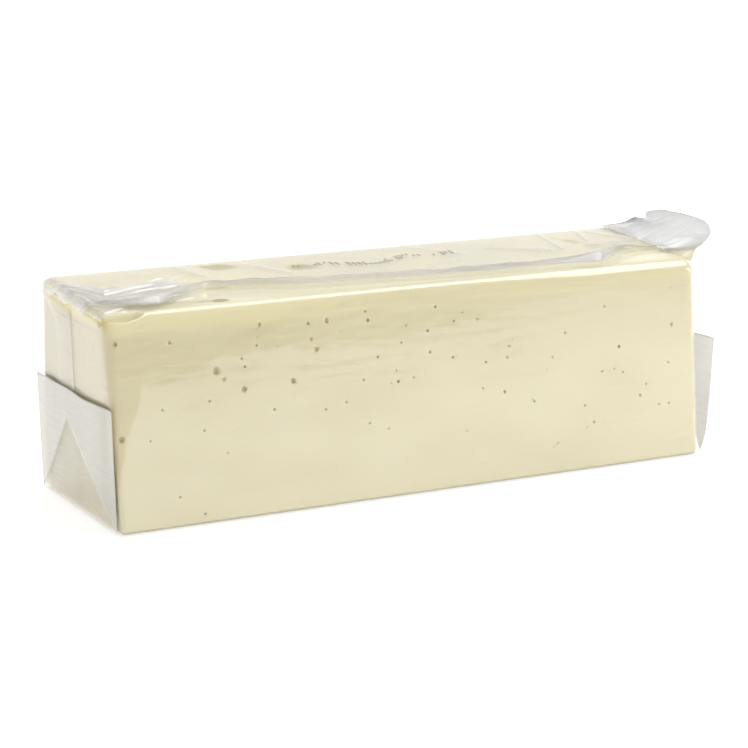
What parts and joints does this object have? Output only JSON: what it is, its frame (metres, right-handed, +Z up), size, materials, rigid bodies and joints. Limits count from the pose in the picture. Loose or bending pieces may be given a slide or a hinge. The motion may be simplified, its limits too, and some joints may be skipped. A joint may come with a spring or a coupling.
{
  "type": "american cheese loaf",
  "caption": "Long block of white american cheese, wider at its base, in a sheet of clear film lapped on top and folded up the ends.",
  "frame": {"origin": "middle of the flat base that the loaf rests on", "axes": "+X along the loaf to its right end, +Y from the front face to the back, +Z up"},
  "size_m": [0.3063, 0.0898, 0.1042],
  "materials": {
    "cheese": "satin",
    "film_laid": "gloss",
    "film_free": "frosted gloss"
  },
  "bodies": {
    "root": {"cheese_loaf": "cheese", "wrap_base": "film_laid", "wrap_front": "film_laid", "wrap_back": "film_laid", "wrap_left_flap": "film_free", "wrap_right_flap": "film_free", "wrap_tail": "film_free"}
  },
  "joints": []
}
